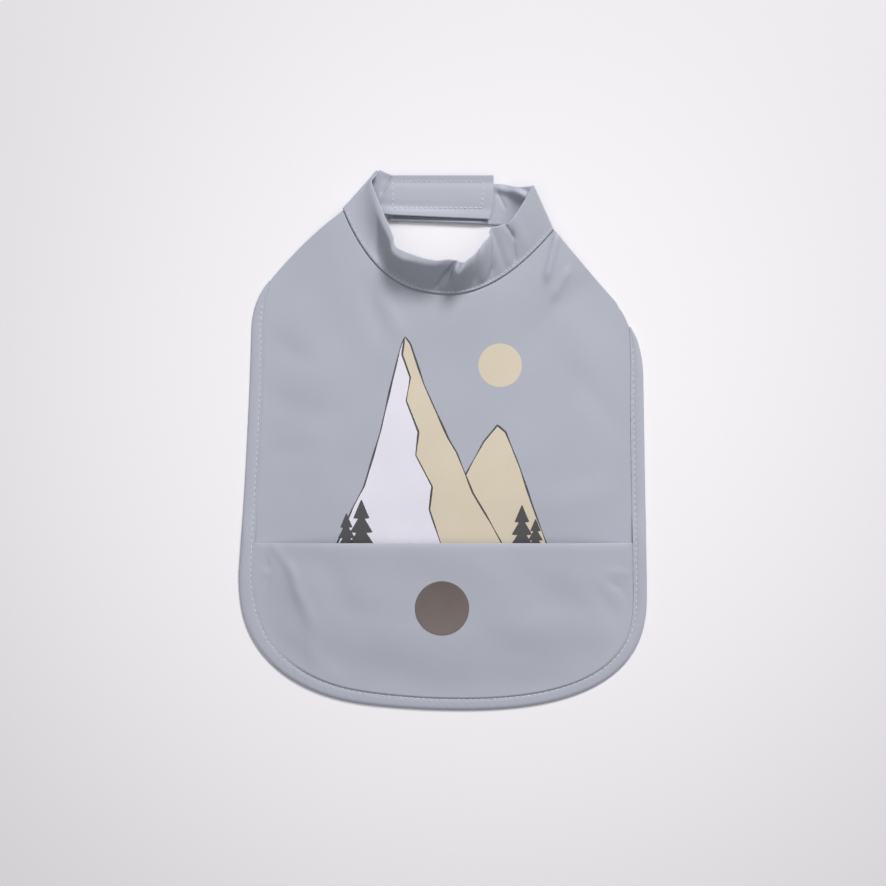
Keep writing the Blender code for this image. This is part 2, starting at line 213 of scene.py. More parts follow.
class Shade:
    # A socket of a node tree. Arithmetic on it adds Math nodes; node() adds any other node.
    def __init__(self, tree, socket=None):
        self.tree, self.socket = tree, socket

    def node(self, kind, settings=None, sockets=None, out=0):
        made = self.tree.nodes.new("ShaderNode" + kind)
        for key, value in (settings or {}).items():
            setattr(made, key, value)
        for key, value in (sockets or {}).items():
            if isinstance(value, Shade):
                self.tree.links.new(value.socket, made.inputs[key])
            else:
                made.inputs[key].default_value = value
        return Shade(self.tree, made.outputs[out])

    def math(self, operation, a, b):
        return self.node("Math", {"operation": operation}, {0: a, 1: b})

    def __add__(self, other):
        return self.math("ADD", self, other)

    def __sub__(self, other):
        return self.math("SUBTRACT", self, other)

    def __rsub__(self, other):
        return self.math("SUBTRACT", other, self)

    def __mul__(self, other):
        return self.math("MULTIPLY", self, other)

    __radd__ = __add__
    __rmul__ = __mul__

    def noise(self, scale, detail=2.0, roughness=0.5):
        settings = {"Vector": self, "Scale": scale, "Detail": detail, "Roughness": roughness}
        return self.node("TexNoise", None, settings)

    def mix(self, a, b):  # colour a where this value is 0, colour b where it is 1
        return self.node("Mix", {"data_type": "RGBA"}, {0: self, 6: (*a, 1), 7: (*b, 1)}, out=2)

    def between(self, low, high):  # 0 below low, 1 above high, with level ends
        edges = {"Value": self, "From Min": low, "From Max": high}
        return self.node("MapRange", {"interpolation_type": "SMOOTHSTEP"}, edges)

    def bump(self, strength, distance):
        return self.node("Bump", None, {"Height": self, "Strength": strength, "Distance": distance})


def newMaterial(name, sockets):
    # sockets(place) gives the Principled sockets, worked out from the Object coordinates.
    made = bpy.data.materials.new(name)
    made.use_nodes = True
    surface = made.node_tree.nodes["Principled BSDF"]
    place = Shade(made.node_tree).node("TexCoord", out="Object")
    for key, value in sockets(place).items():
        if isinstance(value, Shade):
            made.node_tree.links.new(value.socket, surface.inputs[key])
        else:
            surface.inputs[key].default_value = value
    return made


badge = dict(
    x=-0.7, y=75.9, radius=19.9, lift=0.3, thickness=0.25,
    rim=(0.3, 0.6),  # width of the thinner rim, and how much of the thickness it lacks
    centre=0.4, sink=0.02, rings=24, turns=96,  # radius of the first ring, the back's gap to the cloth
    # the foil's two tones; the grain moves between them, and so does the painted light towards the lower edge
    dark=(0.120, 0.098, 0.092), light=(0.225, 0.190, 0.180),
)
coating = dict(low=(0.385, 0.402, 0.462), high=(0.425, 0.443, 0.505), rough=0.47, grain=2600, cloud=28)


def coatedFabric(place):
    # Satin coating: slow clouds of tone and gloss, and a pebbled grain of 0.4 to 1.5 mm.
    cloud = place.noise(coating["cloud"], 3)
    grain = place.noise(coating["grain"], 2)
    pebble = place.noise(coating["grain"] / 4, 3)
    return {
        "Base Color": (cloud * 0.8 + pebble * 0.2).mix(coating["low"], coating["high"]),
        "Roughness": coating["rough"] + (cloud - 0.5) * 0.12 + (grain - 0.5) * 0.10,
        "Normal": (grain * 0.5 + pebble).bump(0.14, 0.0002),
        "Specular IOR Level": 0.35,
    }


def sewingThread(place):
    # Pale thread: fine fibres, and uneven tone from stitch to stitch.
    fibre = place.noise(6000, 2)
    tone = place.noise(240, 2)
    return {
        "Base Color": (tone * 0.7 + fibre * 0.3).mix((0.55, 0.55, 0.56), (0.78, 0.77, 0.77)),
        "Roughness": 0.55 + fibre * 0.2,
        "Normal": fibre.bump(0.4, 0.0002),
    }


def tapePile(place, scale, strength):
    # Small raised cells, as the hooks or loops of a fastener stand in rows. The tone's dark end is also painted
    # shade.
    cells = place.node("TexVoronoi", None, {"Vector": place, "Scale": scale, "Randomness": 0.35})
    fuzz = place.noise(scale * 2.2, 3)
    return {
        # painted shade: the dark end of this mix is darker than the tape's own grey, so that the loop tape in
        # the slot under the hook strap's lower edge looks black
        "Base Color": (cells * 0.7 + fuzz * 0.4).mix((0.36, 0.38, 0.44), (0.15, 0.16, 0.19)),
        "Roughness": 0.72 + fuzz * 0.2,
        "Normal": (fuzz * 0.6 - cells).bump(strength, 0.0006),
    }


def badgeFoil(place):
    # Soft metallic transfer foil: sandy grain in tone, gloss and height. It is also paler towards its lower
    # edge, which is painted light.
    grain = place.noise(2400, 3)
    cloud = place.noise(60, 2)
    y = place.node("SeparateXYZ", None, {0: place}, out="Y")
    # painted light: the foil's colour grows paler towards the disc's lower edge, as if more light fell there
    lower = (bottomEdge + (badge["y"] + badge["radius"]) * mm - y) * (0.5 / (badge["radius"] * mm))
    return {
        "Base Color": (grain * 0.5 + cloud * 0.3 + lower * 0.5 - 0.25).mix(badge["dark"], badge["light"]),
        "Metallic": 0.55 + cloud * 0.2,
        "Roughness": 0.40 + grain * 0.16,
        "Normal": grain.bump(0.12, 0.0002),
    }


def printInk(dark, light):
    # Transfer film of one ink: faint clouds of cover and the cloth's grain showing through.
    def sockets(place):
        cloud = place.noise(34, 3)
        grain = place.noise(coating["grain"] / 2, 2)
        return {
            "Base Color": (cloud * 0.7 + grain * 0.3).mix(dark, light),
            "Roughness": 0.42 + grain * 0.12,
            "Normal": grain.bump(0.08, 0.0002),
        }
    return sockets


clothFinish = newMaterial("coatedFabric", coatedFabric)
threadFinish = newMaterial("sewingThread", sewingThread)
hookFinish = newMaterial("hookPile", lambda place: tapePile(place, 900, 0.8))
loopFinish = newMaterial("loopPile", lambda place: tapePile(place, 620, 0.5))
foilFinish = newMaterial("badgeFoil", badgeFoil)
whiteInk = newMaterial("whiteInk", printInk((0.70, 0.68, 0.76), (0.78, 0.76, 0.84)))
sandInk = newMaterial("sandInk", printInk((0.60, 0.52, 0.40), (0.68, 0.60, 0.47)))
charcoalInk = newMaterial("charcoalInk", printInk((0.045, 0.043, 0.045), (0.075, 0.072, 0.075)))
print("finishes made")


# outline

outline = dict(  # pairs are left and right
    width=300, points=760,
    cornerHeight=(101.5, 89), cornerPower=(2.53, 2.7),  # the widest line, and the rounded bottom below it
    shoulder=(304.5, 278), draft=(9.6, 3.2), sidePower=(1.5, 1.0),  # corner height, how far the side comes in
    bulge=(4.4, -0.6), rounding=((21, 24), (31, 31.6)),  # of the shoulder line, and of its corner both ways
    neckOut=((0, 0), (1.6, 0.5)),  # the shoulder's start beyond the neck seam
    lift=(1.2, -38, 36),  # the bottom edge left of the middle: by how much it is higher, place, reach
    notch=(1.0, 21, 7),  # where the right shoulder's turned edge meets the binding: depth, place, reach
    clothInset=0.9, insetRun=6,  # body and pocket end inside the binding's fold
    split=30,  # height where the grids change from the sides to the bottom
)
neckline = dict(
    x=3.6, y=360, width=153.8, depth=53.7, tilt=5.7, power=(2.6, 2.05),
    allowance=2.5, groove=(0.9, 0.55, 0.25),  # sewn groove: depth, width, how far outside the seam
)
tilt = math.radians(neckline["tilt"])
neckAcross = np.array([math.cos(tilt), -math.sin(tilt)])
neckUp = np.array([math.sin(tilt), math.cos(tilt)])


def neckSeam(t):  # a U from t = -1 to 1: depth times one less |t| to a power, in the tilted axes of the neck
    power = np.where(t < 0, *neckline["power"])
    y = -neckline["depth"] * (1 - np.abs(t) ** power)
    centre = np.array([neckline["x"], neckline["y"]])
    return centre + (neckline["width"] / 2 * t)[..., None] * neckAcross + y[..., None] * neckUp


def halfOutline(k):  # shoulder from the neck end to the rounding, then the rounded corner and the side
    sign = (-1, 1)[k]
    shoulder, draft, rounding = (outline[key][k] for key in ("shoulder", "draft", "rounding"))
    neckEnd = neckSeam(np.array(float(sign))) + outline["neckOut"][k]
    corner = np.array([sign * (outline["width"] / 2 - draft), shoulder])
    toNeck = unit(neckEnd - corner)
    start = corner + toNeck * rounding[0]
    outward = np.array([-toNeck[1], toNeck[0]]) * -sign
    drop = np.linspace(0, 1, 100)
    sideX = corner[0] + sign * draft * drop ** outline["sidePower"][k]
    side = np.stack([sideX, shoulder + (outline["cornerHeight"][k] - shoulder) * drop], axis=1)
    below = side[side[:, 1] < shoulder - rounding[1]]
    shoulderLine = arc(neckEnd, (neckEnd + start) / 2 + outward * outline["bulge"][k], start, 40)
    return shoulderLine, np.concatenate([arc(start, corner, below[0], 20), below[1:]])


def bottomOutline(k):  # a quarter of a superellipse, from a side's widest point to the middle of the bottom
    turn = np.linspace(0, math.pi / 2, 401)[:, None]
    power = 2 / outline["cornerPower"][k]
    x, y = np.cos(turn) ** power, 1 - np.sin(turn) ** power
    return np.concatenate([(-1, 1)[k] * outline["width"] / 2 * x, outline["cornerHeight"][k] * y], axis=1)


shoulderLeft, sideLeft = halfOutline(0)
shoulderRight, sideRight = halfOutline(1)
bottom = np.concatenate([bottomOutline(0)[1:], bottomOutline(1)[::-1][1:-1]])
lift, liftPlace, liftReach = outline["lift"]
bottom[:, 1] += lift * bell((bottom[:, 0] - liftPlace) / liftReach)
bound = evenly(np.concatenate([sideLeft, bottom, sideRight[::-1]]), outline["points"])
fromLeft = alongPath(bound)
fromRight = fromLeft[-1] - fromLeft
notchDepth, notchPlace, notchReach = outline["notch"]
bound = inset(bound, notchDepth * bell((fromRight - notchPlace) / notchReach))
fromEnds = np.minimum(fromLeft, fromRight)
clothEdge = inset(bound, outline["clothInset"] * smooth(fromEnds / outline["insetRun"]))
edgeSamples = clothEdge[::2]
neckSamples = neckSeam(np.linspace(-1, 1, 121))
seamPath = neckSeam(np.linspace(-1, 1, 801))


def unevenRows(first, share, rest):  # so many rows down to a share of the way, then the rest
    return np.concatenate([np.linspace(0, share, first)[:-1], np.linspace(share, 1, rest)])


def coonsPatch(top, low, sides, rows):
    # The two ruled surfaces between facing edges, less the one through the corners.
    # The rows are shares of the way down.
    left, right = (pathAt(side, rows * alongPath(side)[-1]) for side in sides)
    u = np.linspace(0, 1, len(top))[None, :, None]
    v = rows[:, None, None]
    corners = (1 - v) * ((1 - u) * top[0] + u * top[-1]) + v * ((1 - u) * low[0] + u * low[-1])
    return (1 - v) * top[None] + v * low[None] + (1 - u) * left[:, None] + u * right[:, None] - corners


# front panel

bodyDrape = dict(
    rest=0.85, lift=1.8, flatEdge=9, slope=42, pocketLine=112, pocketFade=50, foldFade=14,
    neckRise=(2.0, 70),  # drawn up by the collar: by how much, reach
    settle=(4, 0.2, 0.28),  # the rounded lower limit: sharpness, margin, drop
    columns=150, rows=(16, 0.018, 176), seamRows=30,  # rows close together at the neck seam
    waves=[(0.40, 150, 62, 0.4), (0.28, 104, -28, 2.1), (0.17, 71, 18, 4.0), (0.10, 52, 112, 1.0)],
    folds=[
        (83, 346, 77, 322, 2.8, 2.3), (90, 320, 83.5, 308, 2.8, 1.3),  # right shoulder
        (80, 296, 76, 288, 11, -1.0), (96, 306, 92, 302, 8, -0.7),
        (-54, 304, -49, 288, 8, -0.8), (-43, 300, -36, 286, 6, 0.6),  # under the left of the neck seam
        (-126, 271, -112, 264, 9, -0.7), (-118, 226, -102, 222, 10, -0.6), (-122, 188, -112, 190, 9, -0.5),
        (110, 232, 124, 214, 10, -0.6), (96, 170, 118, 176, 12, -0.6),
    ],
)


def bodyHeight(x, y):  # middle of the panel's cloth: flat under binding and pocket, a slight billow elsewhere
    inside = smooth((nearest(x, y, edgeSamples) - bodyDrape["flatEdge"]) / bodyDrape["slope"])
    inside = inside * smooth((y - bodyDrape["pocketLine"]) / bodyDrape["pocketFade"])
    folds = foldField(x, y, bodyDrape["folds"]) * smooth(nearest(x, y, edgeSamples) / bodyDrape["foldFade"])
    rise, reach = bodyDrape["neckRise"]
    folds = folds + rise * (1 - smooth(nearest(x, y, neckSamples) / reach))
    billow = inside * (bodyDrape["lift"] + waveField(x, y, bodyDrape["waves"])) + folds
    sharp, margin, drop = bodyDrape["settle"]  # so that the cloth never goes under the table
    return bodyDrape["rest"] + np.log1p(np.exp(sharp * (billow + margin))) / sharp - drop


def withHeight(flat, height):  # x and y with the height as z
    return np.concatenate([flat, height[..., None]], axis=-1)


t = np.linspace(-1, 1, 401)
neckEdge = inset(neckSeam(t), neckline["allowance"] * (1 - 0.5 * np.abs(t) ** 6))  # half as much at the ends
cornerSplit = np.argmin(np.abs(clothEdge[: outline["points"] // 2, 1] - outline["split"]))
bodySides = [
    np.concatenate([neckEdge[[end]], shoulder[:-1], edge[: cornerSplit + 1]])
    for end, shoulder, edge in ((0, shoulderLeft, clothEdge), (-1, shoulderRight, clothEdge[::-1]))
]
bodyLow = evenly(clothEdge[cornerSplit:-cornerSplit], bodyDrape["columns"])
bodyTop = evenly(neckEdge, bodyDrape["columns"])
bodyGrid = coonsPatch(bodyTop, bodyLow, bodySides, unevenRows(*bodyDrape["rows"]))
bodyMiddle = withHeight(bodyGrid, bodyHeight(bodyGrid[..., 0], bodyGrid[..., 1]))
# The seam draws the cloth down in a narrow groove beside the collar's lower edge.
grooveDepth, grooveWidth, grooveOut = neckline["groove"]
nearSeam = bodyGrid[: bodyDrape["seamRows"]]
seamDistance = nearest(nearSeam[..., 0], nearSeam[..., 1], inset(seamPath, -grooveOut))
bodyMiddle[: bodyDrape["seamRows"], :, 2] -= grooveDepth * bell(seamDistance / grooveWidth)
bodyMiddle[..., 2] = np.maximum(bodyMiddle[..., 2], fabric["single"] / 2)
rings, faces = sheetShell(bodyMiddle, np.full(bodyMiddle.shape[:2], fabric["single"]))
bodyPanel = addPiece("bodyPanel", rings, faces, clothFinish, 50)
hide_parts("body_panel")
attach(bodyPanel, "bib")
print("front panel made")


# binding's width, which the pocket starts beside

binding = dict(  # pairs are left and right, or sides and bottom
    width=(10, 8.5), seam=(7.6, 8.0), puff=(0.4, 0.15),  # stitch line from the outer edge, fullness
    bottomFade=(25, 55), cornerFade=70,  # height where the bottom turns into a side, and its reach
    extra=(2.0, 62, 45),  # wider round the left bottom corner: by how much, at which height, reach
    start=(3, 21.5), taper=(18, 16), leastTaper=0.06, sewnTaper=0.66,  # narrow ends, unsewn where narrowest
    level=1.45, overPocket=0.6, step=30,  # height of the front leg, and how it steps up on to the pocket
    base=0.27, outerGap=0.25,  # height of the back leg, and the fold's place inside the outline
    groove=(0.25, 0.7),  # depth and width at the stitch line
    backColumns=(1, 0.6, 0.25), foldRows=9,  # shares of the width, and rows round the outer fold
    columns=[(0.18, 0.68, 7), (0.71, 0.81, 5), (0.85, 1, 5)],  # front leg: close together at the stitches
    rise=0.4, fall=0.45, edgeFall=(1.2, 3.2),  # the bottom's level, its lean, and its rounded outer edge
    stitch=(4.3, 3.2, 0.30),  # pitch, length, radius
    # Puckers: height, spacing, slant, phase. They come and go by the gathers: share, run, phase.
    puckers=[(0.055, 5.3, 0.9, 0.0), (0.045, 8.1, 1.4, 1.7), (0.03, 3.7, 0.6, 4.0)],
    gathers=[(0.4, 23, 0), (0.5, 61, 2)], gatherMean=0.6, gatherLoss=0.4,  # less along the bottom
)


def bottomShare(y):  # 1 along the bottom edge, 0 on the sides
    end, reach = binding["bottomFade"]
    return 1 - smooth((y - end) / reach)


def sideToBottom(key, y):  # the value for the sides, turning into the one for the bottom
    side, low = binding[key]
    return side + (low - side) * bottomShare(y)


def extraWidth(x, y):  # the binding is wider round the left bottom corner
    most, place, reach = binding["extra"]
    return most * bell((y - place) / reach) * smooth(-x / binding["cornerFade"])


def bindingReach(x, y):  # how far in from the outer edge the binding comes
    return sideToBottom("width", y) + extraWidth(x, y)


# crumb pocket

pocket = dict(
    depth=122.9, rest=1.45, gape=6.4, flatEdge=12, slope=48, foot=0.6,
    hem=14, foldRadius=0.45, hemRows=9,
    hemLift=0.8, hemRun=(50, 40),  # how far below the mouth the lift starts, and its run
    crest=(0.45, 4.5),  # a soft roll just below the mouth: height, distance
    puff=(1.2, 1.5), puffGap=0.05,  # a steep start at the bottom binding: height, run
    puffEnd=(95, 35),  # it fades towards the left corner: from here, over this run
    sewnEdge=9, waveFade=22, foldFade=6,  # ripples start inside this distance from the edge
    columns=280, rows=(100, 0.86, 44),  # rows close together low down
    waves=[(0.26, 74, 35, 0.8), (0.20, 52, -20, 3.0), (0.14, 37, 80, 1.6)],
    folds=[
        (-123, 119, -111.4, 103, 3.9, 0.5), (-111.4, 103, -106, 87, 4.2, 0.6),  # left crease
        (-106, 87, -99.7, 72.6, 4.8, 0.55), (-99.7, 72.6, -96, 43, 5.5, 0.35), (-96, 43, -83, 29, 6.5, 0.35),
        (-107, 102, -95, 70, 9.0, 0.6),
        (-134, 113, -130, 108, 2.8, -0.6), (-129.3, 95.5, -132.6, 89.9, 2.4, -0.5),  # at the left binding
        (-132.6, 89.9, -136.7, 85.2, 2.4, -0.5),
        (133, 88, 127, 92, 3.4, -0.6), (134, 101, 128, 102, 3.4, 0.4), (126, 70, 116, 84, 6, -0.6),
        (-82, 99, -72, 82, 10, -0.6), (60, 100, 84, 86, 12, -0.6), (30, 60, 50, 48, 12, -0.4),
    ],
)


def hemShare(y):  # 0 low on the pocket, 1 at the mouth
    start, run = pocket["hemRun"]
    return smooth((y - pocket["depth"] + start) / run)


def pocketHeight(x, y):
    # Middle of the pocket's cloth: flat under the binding, rising to the middle of the mouth.
    away = nearest(x, y, edgeSamples)
    gape = pocket["gape"] * smooth((away - pocket["flatEdge"]) / pocket["slope"])
    gape = gape * (pocket["foot"] + (1 - pocket["foot"]) * smooth(y / pocket["depth"]))
    unsewn = away - pocket["sewnEdge"]
    folds = foldField(x, y, pocket["folds"]) * smooth(unsewn / pocket["foldFade"])
    ripple = smooth(unsewn / pocket["waveFade"]) * waveField(x, y, pocket["waves"]) + folds
    down = np.maximum(pocket["depth"] - y, 0)
    rise, reach = pocket["crest"]
    crest = rise * down / reach * np.exp(1 - down / reach) * smooth(unsewn / pocket["foldFade"])
    fullness, run = pocket["puff"]
    fadeStart, fadeRun = pocket["puffEnd"]
    past = away + outline["clothInset"] - bindingReach(x, y) - pocket["puffGap"]
    puff = fullness * smooth(past / run) * bottomShare(y) * (1 - smooth((-x - fadeStart) / fadeRun))
    hem = pocket["hemLift"] * hemShare(y)
    return pocket["rest"] + hem + crest + puff + np.maximum(gape + ripple, 0)


below = np.flatnonzero(clothEdge[:, 1] < pocket["depth"])
pocketEdge = clothEdge[below[0] : below[-1] + 1].copy()
pocketEdge[[0, -1], 1] = pocket["depth"]
split = cornerSplit - below[0]
acrossMouth = np.linspace(0, 1, pocket["columns"])[:, None]
mouth = pocketEdge[0] + (pocketEdge[-1] - pocketEdge[0]) * acrossMouth
pocketLow = evenly(pocketEdge[split:-split], pocket["columns"])
pocketSides = [edge[: split + 1] for edge in (pocketEdge, pocketEdge[::-1])]
pocketGrid = coonsPatch(mouth, pocketLow, pocketSides, unevenRows(*pocket["rows"]))
face = withHeight(pocketGrid, pocketHeight(pocketGrid[..., 0], pocketGrid[..., 1]))
# The mouth's hem: up behind the face, then half a turn over the fold.
turn = np.linspace(math.pi, 0, pocket["hemRows"])[:-1, None, None]
lip = face[:1] + pocket["foldRadius"] * np.concatenate([0 * turn, np.sin(turn), np.cos(turn) - 1], axis=-1)
down = np.linspace(1, 0, pocket["hemRows"])[:-1, None, None]
back = down * np.array([0, -pocket["hem"], 0]) + face[:1]
back[..., 2] = pocketHeight(back[..., 0], back[..., 1]) - 2 * pocket["foldRadius"]
pocketMiddle = np.concatenate([back, lip, face])
rings, faces = sheetShell(pocketMiddle, np.full(pocketMiddle.shape[:2], fabric["single"]))
pocketPanel = addPiece("pocketPanel", rings, faces, clothFinish, 50)
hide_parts("pocket_panel")
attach(pocketPanel, "bib")
print("pocket made")


# binding

endTaper = np.minimum(*(
    1 - np.exp(-np.maximum(s - start, 0) / taper)
    for s, start, taper in zip((fromLeft, fromRight), binding["start"], binding["taper"])
))
endTaper = binding["leastTaper"] + (1 - binding["leastTaper"]) * endTaper
onBottom = bottomShare(bound[:, 1])
bindingWidth = bindingReach(*bound.T) * endTaper
seamInset = (sideToBottom("seam", bound[:, 1]) + extraWidth(*bound.T)) * endTaper


def bindingLevel(y):  # middle of the front leg: over the pocket and its hem, then down on the body
    onPocket = 1 - smooth((y - pocket["depth"]) / binding["step"])
    return binding["level"] + binding["overPocket"] * onPocket + pocket["hemLift"] * onPocket * hemShare(y)


def bindingTop(inward):
    # Middle of the front leg at a distance from the outer edge: a low puff, a sewn groove, small puckers
    # and, along the bottom, a falling rim.
    share = np.clip(inward / seamInset, 0, 1.6)
    arch = np.clip(1 - (2 * np.minimum(share, 1) - 1) ** 2, 0, 1) * (share < 1)
    puff = sideToBottom("puff", bound[:, 1]) * arch
    grooveDepth, grooveWidth = binding["groove"]
    groove = grooveDepth * bell((inward - seamInset) / grooveWidth)
    pucker = sum(
        height * np.sin((fromLeft + slant * inward) * 2 * math.pi / spacing + phase)
        for height, spacing, slant, phase in binding["puckers"]
    )
    gathers = (part * np.sin(fromLeft / run + phase) for part, run, phase in binding["gathers"])
    gather = sum(gathers, binding["gatherMean"])
    gather = gather * (1 - binding["gatherLoss"] * onBottom) * np.clip(share * 2, 0, 1)
    most, reach = binding["edgeFall"]
    fall = binding["fall"] * (1 - np.minimum(share, 1)) ** 2 + most * np.clip(1 - inward / reach, 0, 1) ** 2
    fall = (fall - binding["rise"]) * onBottom
    return bindingLevel(bound[:, 1]) + (puff - groove - fall + pucker * gather) * endTaper


legBase = binding["base"]
shares = np.concatenate([np.linspace(*stretch) for stretch in binding["columns"]])
underside = np.full(len(bound), legBase)
columns = [
    np.column_stack([inset(bound, bindingWidth * share), underside]) for share in binding["backColumns"]
]
foldRadius = (bindingTop(0 * bindingWidth) - legBase) / 2
rounded = foldRadius * np.minimum(1, endTaper * 2)
for angle in np.linspace(-math.pi / 2, math.pi / 2, binding["foldRows"]):
    inward = binding["outerGap"] + rounded * (1 - math.cos(angle))
    columns.append(np.column_stack([inset(bound, inward), legBase + foldRadius * (1 + math.sin(angle))]))
for share in shares:
    inward = np.maximum(bindingWidth * share, binding["outerGap"] + rounded + 0.02 * share)
    columns.append(np.column_stack([inset(bound, inward), bindingTop(inward)]))
started = (fromLeft > binding["start"][0]) & (fromRight > binding["start"][1])
bindingMiddle = np.stack(columns, axis=1)[started]
rings, faces = sheetShell(bindingMiddle, np.full(bindingMiddle.shape[:2], fabric["single"]))
edgeBinding = addPiece("edgeBinding", rings, faces, clothFinish, 60)
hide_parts("edge_binding")
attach(edgeBinding, "bib")

sewn = endTaper > binding["sewnTaper"]
line = np.column_stack([inset(bound, seamInset), bindingTop(seamInset) + fabric["single"] / 2])[sewn]
points, faces = stitchRow(line, np.tile([0.0, 0.0, 1.0], (len(line), 1)), *binding["stitch"])
edgeStitches = addPiece("edgeStitches", points, faces, threadFinish)
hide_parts("edge_thread")
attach(edgeStitches, "bib")
print("binding made")


# collar strip

collar = dict(
    columns=60, frontRows=360, base=1.0, strapLevel=0.65, lowerCorner=0.3, crease=1.0, foot=1.9, sharpness=12,
    endPower=10, profilePoints=400, foldStart=5,  # how late the ends begin; how early the folds do
    turnRows=18, turnBulge=(0.4, 1.0), splitAfter=11,  # half turns at the creases, left and right
    stitch=(1.9, 3.4, 2.5, 0.23),  # height up the strip, pitch, length, radius
    loopSewn=(34, 48), lowColumn=3, endRows=6,  # also sewn at the loop strap's root, between these x
    # Share of the seam's length, width of the level rim above the bend, and how hollow the stand below it is.
    stand=[
        (0.000, 2.4, 2.4), (0.060, 2.8, 2.4), (0.120, 4.2, 2.3), (0.180, 4.8, 2.6), (0.220, 4.4, 2.6),
        (0.270, 4.4, 2.2), (0.300, 5.6, 1.8), (0.325, 6.4, 1.5), (0.360, 5.8, 1.25), (0.400, 4.8, 1.1),
        (0.460, 3.3, 1.1), (0.506, 1.6, 1.1), (0.524, 1.5, 1.1), (0.530, 4.4, 1.1), (0.537, 7.0, 1.1),
        (0.548, 8.3, 1.1), (0.558, 8.5, 1.1), (0.568, 7.2, 1.1), (0.585, 4.4, 1.1), (0.616, 3.0, 1.1),
        (0.660, 3.4, 1.1), (0.710, 3.2, 1.1), (0.745, 2.0, 1.0), (0.765, -3.0, 1.0), (1.000, -3.0, 1.0),
    ],
    topEdge=[  # share of the seam's length, then x, y and z of the upper fold
        (0.000, -47.2, 395.6, 8.1), (0.030, -51.8, 389.2, 9.4), (0.058, -50.6, 382.8, 10.8),
        (0.100, -46.8, 373.0, 13.0), (0.144, -43.4, 364.4, 15.6), (0.552, 12.0, 327.8, 27.0),
        (0.585, 15.2, 327.3, 27.2), (0.612, 18.2, 329.6, 26.6), (0.652, 22.6, 333.0, 25.2),
        (0.713, 29.4, 342.0, 21.5), (0.752, 34.4, 348.6, 18.6), (0.774, 35.0, 353.2, 17.0),
        (0.800, 41.0, 355.0, 16.6), (0.834, 47.3, 357.0, 16.8), (0.873, 52.6, 363.4, 15.6),
        (0.934, 59.4, 374.0, 14.4), (1.000, 64.6, 384.4, 14.0),
    ],
    topSeen=[  # share, pixel across and down where the photograph shows the fold from above, and its z
        (0.19, 388.2, 223.5, 18.6), (0.24, 393.0, 235.7, 22.2), (0.29, 396.5, 247.0, 25.6),
        (0.32, 404.0, 251.0, 27.2), (0.36, 413.0, 254.2, 27.6), (0.40, 424.0, 257.8, 27.7),
        (0.45, 437.2, 260.0, 27.2), (0.50, 449.4, 259.0, 26.0), (0.52, 455.4, 259.8, 26.4),
    ],
    # Middle pixel, millimetres for each pixel on the table, y of the middle, height of the lens.
    photo=dict(centre=443, pixel=0.7353, middleY=196.95, distance=1300),
    folds=[  # along the seam and up the strip in millimetres, width, height outwards
        (103, 31, 99.5, 21, 1.5, -1.2), (99.5, 21, 96, 8, 1.8, -1.3),  # dark diagonal left of the pleat
        (104.5, 22, 101, 8, 3.0, 1.0),
        (112, 33, 110, 27.5, 1.2, -1.4),  # pleat in the top edge, then the folds right and left of these
        (132, 28, 127, 11, 2.6, -1.1), (137, 27, 133, 10, 3.0, 0.7), (150, 31, 142, 10, 1.5, -0.8),
        (141, 8, 137, 3, 3.0, -0.6), (156, 30, 156, 10, 3.2, 0.8), (162, 32, 165, 22, 1.7, -1.3),
        (165, 22, 161, 5, 2.0, -1.2), (170, 30, 172, 14, 4.0, 0.6),
        (32, 20, 42, 7, 3.4, -0.9), (54, 26, 58, 10, 4.5, 0.6), (76, 26, 74, 12, 7, -0.5),
    ],
)
straps = dict(
    hingeX=-37.27, tipX=37.0, tipCut=(3.0, 0.38), hookLow=(364.0, 361.0), hookHigh=393.4, hookZ=4.7,
    # Height of the hook strap by share of its width, at the root and at the tip: raised edges, sunk stitch
    # lines, a low pad between.
    relief=[
        (0, 1.3, 0.4), (0.10, 0.9, 0.2), (0.22, -0.2, -0.2), (0.40, 0.2, 0.2), (0.70, 0.2, 0.2),
        (0.84, -0.25, -0.25), (0.93, 0.1, 0.1), (1, 0.4, 0.4),
    ],
    loopEndX=-40.6, loopX=40.5, rootZ=1.35, loopLow=(359.9, 357.2), loopHigh=387.4,
    loopCut=(2.2, 4),  # the loop strap's lower corner is cut: how far in, how far up
    lip=(1.7, 1.6, 0.85), lipEnd=(26, 34),  # ridge on its lower edge: height, place, width; fade
    folds=[(-36.4, 393, -44, 381, 1.2, -1.2), (-40.5, 393, -47, 383, 2.6, 0.4)],
    rootFolds=[
        (38.0, 386, 45.0, 371, 1.0, -0.6), (44.0, 383.0, 55.6, 379.1, 2.6, 2.4),
        (55.6, 379.1, 61.0, 375.0, 2.6, 2.4),
    ],
    rootDip=(1.4, 55.0, 7),  # the loop root's upper edge is drawn down: by how much, place, reach
    rootRise=(2.2, -46.5, 5),  # the hook strap's upper edge rises beside the left crease
    bend=(-42, -25), bendY=378, bendZ=5.3,  # the cloth bends between these places when the strap is peeled
    rows=(40, 30, 40, 120),  # along the loop strap, its root, the hook strap's root, the hook strap
)

seamLength = alongPath(seamPath)[-1]
stripWidth = 33
heights = 0.5 - 0.5 * np.cos(np.linspace(0, math.pi, collar["columns"]))


def fromPhoto(across, down, z):  # a pixel's place, drawn in towards the middle as the point is higher
    photo = collar["photo"]
    pixel = photo["pixel"] * (1 - z / photo["distance"])
    return (across - photo["centre"]) * pixel, (photo["centre"] - down) * pixel + photo["middleY"], z


topEdge = np.array(sorted(
    collar["topEdge"] + [(share, *fromPhoto(across, down, z)) for share, across, down, z in collar["topSeen"]]
))


